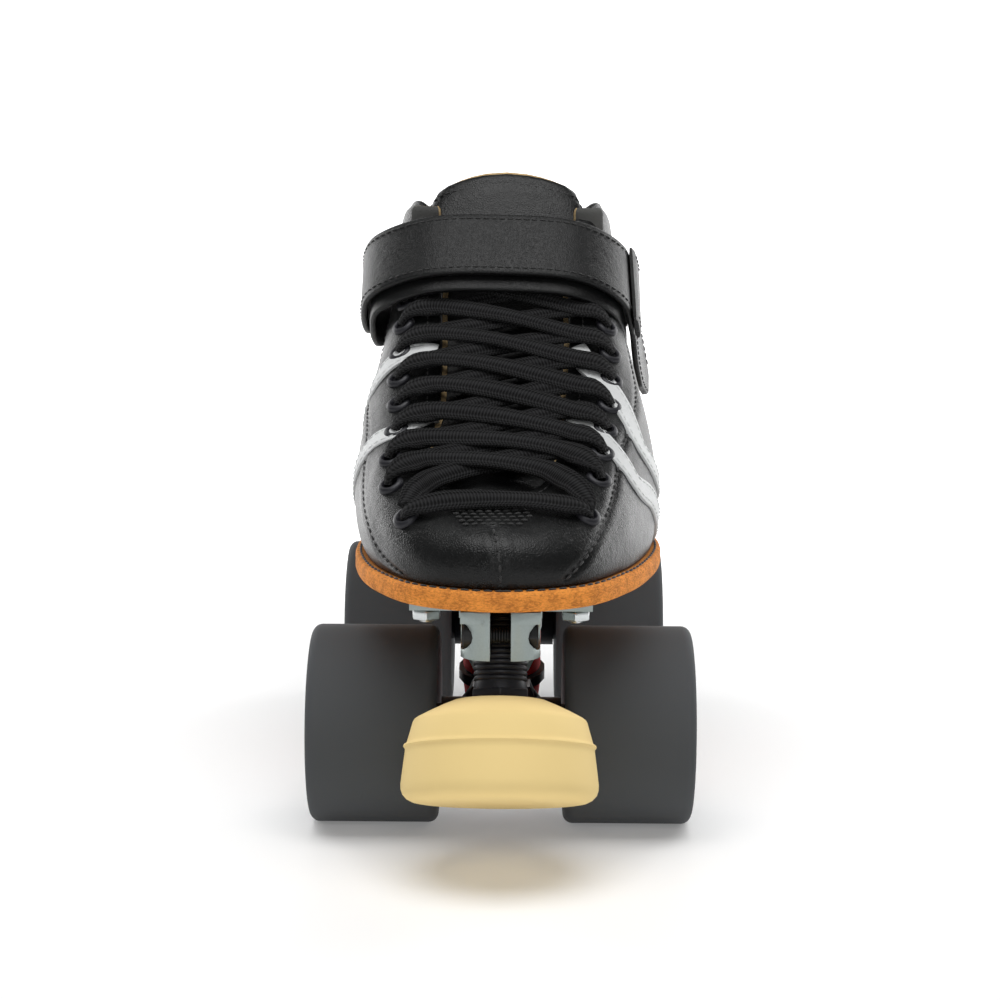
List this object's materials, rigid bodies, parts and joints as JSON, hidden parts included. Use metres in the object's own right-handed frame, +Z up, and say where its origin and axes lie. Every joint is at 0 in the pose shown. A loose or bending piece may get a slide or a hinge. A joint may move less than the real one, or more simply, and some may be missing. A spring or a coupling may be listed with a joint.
{
  "type": "quad roller skate",
  "caption": "Left quad roller skate: laced leather boot with an ankle strap on a metal plate, sprung steering trucks, wide wheels on bearings and a height-adjustable toe stop.",
  "frame": {"origin": "on the floor under the middle of the whole skate's bounding box", "axes": "+X to the outer side of the foot, -Y to the toe, +Z up"},
  "size_m": [0.119, 0.2876, 0.2007],
  "materials": {
    "black_leather": "semi-gloss black grained leather",
    "tan_leather": "raw tan leather, matt",
    "lace_cloth": "woven black lace",
    "bright_steel": "zinc-plated steel",
    "black_metal": "gloss black",
    "plate_aluminium": "satin grey cast aluminium",
    "tyre_urethane": "matt charcoal urethane",
    "hub_plastic": "dark teal moulded nylon",
    "cushion_urethane": "translucent red urethane",
    "pad_urethane": "tan urethane, satin",
    "cup_plastic": "black moulded cup"
  },
  "bodies": {
    "boot_and_plate": {"upper": "black_leather", "sole": "tan_leather", "heel_block": "tan_leather", "insole": "tan_leather", "tongue": "black_leather", "laces": "lace_cloth", "strap_base": "black_leather", "strap_flap": "black_leather", "strap_ring": "bright_steel", "strap_keeper": "black_leather", "baseplate": "plate_aluminium", "clamp_bolt": "bright_steel", "clamp_nut": "bright_steel", "mount_bolt_front_outer": "bright_steel", "mount_nut_front_outer": "bright_steel", "mount_bolt_front_inner": "bright_steel", "mount_nut_front_inner": "bright_steel", "mount_bolt_rear_outer": "bright_steel", "mount_nut_rear_outer": "bright_steel", "mount_bolt_rear_inner": "bright_steel", "mount_nut_rear_inner": "bright_steel", "front_kingpin": "bright_steel", "front_kingpin_nut": "bright_steel", "front_cushion_washer": "bright_steel", "front_upper_cushion": "cushion_urethane", "front_lower_cushion": "cushion_urethane", "front_pivot_cup": "cup_plastic", "rear_kingpin": "bright_steel", "rear_kingpin_nut": "bright_steel", "rear_cushion_washer": "bright_steel", "rear_upper_cushion": "cushion_urethane", "rear_lower_cushion": "cushion_urethane", "rear_pivot_cup": "cup_plastic"},
    "strap_tail": {"strap_tail": "black_leather"},
    "toe_stop": {"toe_stop_stem": "black_metal", "toe_stop_pad": "pad_urethane"},
    "front_truck": {"front_hanger": "black_metal", "front_axle": "bright_steel", "front_outer_axle_nut": "black_metal", "front_inner_axle_nut": "black_metal"},
    "front_outer_wheel": {"front_outer_tyre": "tyre_urethane", "front_outer_hub": "hub_plastic", "front_outer_bearing_inboard": "bright_steel", "front_outer_bearing_outboard": "bright_steel"},
    "front_inner_wheel": {"front_inner_tyre": "tyre_urethane", "front_inner_hub": "hub_plastic", "front_inner_bearing_inboard": "bright_steel", "front_inner_bearing_outboard": "bright_steel"},
    "rear_truck": {"rear_hanger": "black_metal", "rear_axle": "bright_steel", "rear_outer_axle_nut": "black_metal", "rear_inner_axle_nut": "black_metal"},
    "rear_outer_wheel": {"rear_outer_tyre": "tyre_urethane", "rear_outer_hub": "hub_plastic", "rear_outer_bearing_inboard": "bright_steel", "rear_outer_bearing_outboard": "bright_steel"},
    "rear_inner_wheel": {"rear_inner_tyre": "tyre_urethane", "rear_inner_hub": "hub_plastic", "rear_inner_bearing_inboard": "bright_steel", "rear_inner_bearing_outboard": "bright_steel"}
  },
  "joints": [
    {"name": "front_truck_steer", "type": "hinge", "parent": "boot_and_plate", "child": "front_truck", "pos_m": [0, -0.03619, 0.043], "axis": [0, -0.9269, 0.3752], "range_deg": [-8, 8], "stiffness_Nm_per_rad": 12, "deforming": ["front_upper_cushion", "front_lower_cushion"]},
    {"name": "front_outer_wheel_spin", "type": "hinge", "parent": "front_truck", "child": "front_outer_wheel", "pos_m": [0.0395, -0.05819, 0.031], "axis": [1, 0, 0], "continuous": true},
    {"name": "front_inner_wheel_spin", "type": "hinge", "parent": "front_truck", "child": "front_inner_wheel", "pos_m": [-0.0395, -0.05819, 0.031], "axis": [1, 0, 0], "continuous": true},
    {"name": "rear_truck_steer", "type": "hinge", "parent": "boot_and_plate", "child": "rear_truck", "pos_m": [0, 0.07781, 0.043], "axis": [0, 0.9269, 0.3752], "range_deg": [-8, 8], "stiffness_Nm_per_rad": 12, "deforming": ["rear_upper_cushion", "rear_lower_cushion"]},
    {"name": "rear_outer_wheel_spin", "type": "hinge", "parent": "rear_truck", "child": "rear_outer_wheel", "pos_m": [0.0395, 0.09981, 0.031], "axis": [1, 0, 0], "continuous": true},
    {"name": "rear_inner_wheel_spin", "type": "hinge", "parent": "rear_truck", "child": "rear_inner_wheel", "pos_m": [-0.0395, 0.09981, 0.031], "axis": [1, 0, 0], "continuous": true},
    {"name": "toe_stop_height", "type": "slide", "parent": "boot_and_plate", "child": "toe_stop", "axis": [0, -0.342, -0.9397], "range_m": [-0.004, 0.005]},
    {"name": "strap_peel", "type": "hinge", "parent": "boot_and_plate", "child": "strap_tail", "pos_m": [0.04778, 0.02754, 0.15873], "axis": [0.0054, -0.6262, -0.7797], "range_deg": [0, 75]}
  ]
}
